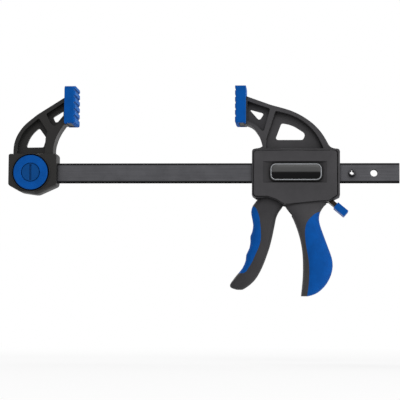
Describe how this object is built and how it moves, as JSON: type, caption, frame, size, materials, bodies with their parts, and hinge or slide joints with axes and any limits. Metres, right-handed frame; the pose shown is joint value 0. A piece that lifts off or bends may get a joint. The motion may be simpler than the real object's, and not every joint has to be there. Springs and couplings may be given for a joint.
{
  "type": "quick release bar clamp",
  "caption": "One-handed quick release bar clamp: flat steel bar, I-beam fixed jaw with lock button, sliding jaw with trigger grip and release lever, soft ribbed pads.",
  "frame": {"origin": "centre of the fixed pad's working face", "axes": "+X along the bar from the fixed jaw to the free end, +Y across the bar from the lock button's side to the cover's side, +Z from the bar up to the pads"},
  "size_m": [0.366, 0.033, 0.1961],
  "materials": {
    "bar_steel": "dark, cold-rolled and oiled",
    "black_nylon": "fine moulded grain",
    "blue_rubber": "matt, soft",
    "blue_plastic": "moulded, satin",
    "plated_steel": "zinc plated",
    "plate_steel": "hardened and blanked",
    "badge_black": "gloss, bare",
    "badge_silver": "bright rim"
  },
  "bodies": {
    "root": {"bar": "bar_steel", "stop_pin": "bar_steel", "fixed_jaw": "black_nylon", "fixed_pad": "blue_rubber", "lock_spring": "plated_steel"},
    "lock_button": {"lock_button": "blue_plastic", "lock_pin": "blue_plastic", "lock_clip": "plated_steel"},
    "sliding_jaw": {"moving_jaw": "black_nylon", "rear_cover": "black_nylon", "cover_screws": "plated_steel", "moving_pad": "blue_rubber", "handle_grip": "blue_rubber", "badge_plate": "badge_black", "badge_rim": "badge_silver", "trigger_pin": "plated_steel", "drive_spring": "plated_steel", "brake_spring": "plated_steel"},
    "trigger": {"trigger": "black_nylon", "trigger_grip": "blue_rubber"},
    "drive_plates": {"front_drive_plate": "plate_steel", "rear_drive_plate": "plate_steel"},
    "release_lever": {"brake_plate": "plate_steel", "release_cap": "blue_plastic"}
  },
  "joints": [
    {"name": "jaw_slide", "type": "slide", "parent": "root", "child": "sliding_jaw", "axis": [1, 0, 0], "range_m": [-0.1497, 0.008]},
    {"name": "trigger_squeeze", "type": "hinge", "parent": "sliding_jaw", "child": "trigger", "pos_m": [0.184, 0, -0.0508], "axis": [0, -1, 0], "range_deg": [0, 15], "stiffness_Nm_per_rad": 5, "springref_deg": -5.73},
    {"name": "drive_advance", "type": "slide", "parent": "sliding_jaw", "child": "drive_plates", "axis": [1, 0, 0], "range_m": [0, 0.0066], "deforming": ["drive_spring"]},
    {"name": "release_tilt", "type": "hinge", "parent": "sliding_jaw", "child": "release_lever", "pos_m": [0.229, 0, -0.0815], "axis": [0, 1, 0], "range_deg": [0, 5], "stiffness_Nm_per_rad": 0.8, "springref_deg": -8.59, "deforming": ["brake_spring"]},
    {"name": "lock_push", "type": "slide", "parent": "root", "child": "lock_button", "axis": [0, 1, 0], "range_m": [0, 0.003], "stiffness_N_per_m": 1500, "springref_m": -0.002, "deforming": ["lock_spring"]}
  ],
  "couplings": [
    {"joint": "drive_advance", "follows": "trigger_squeeze", "m_per_rad": 0.024637}
  ]
}
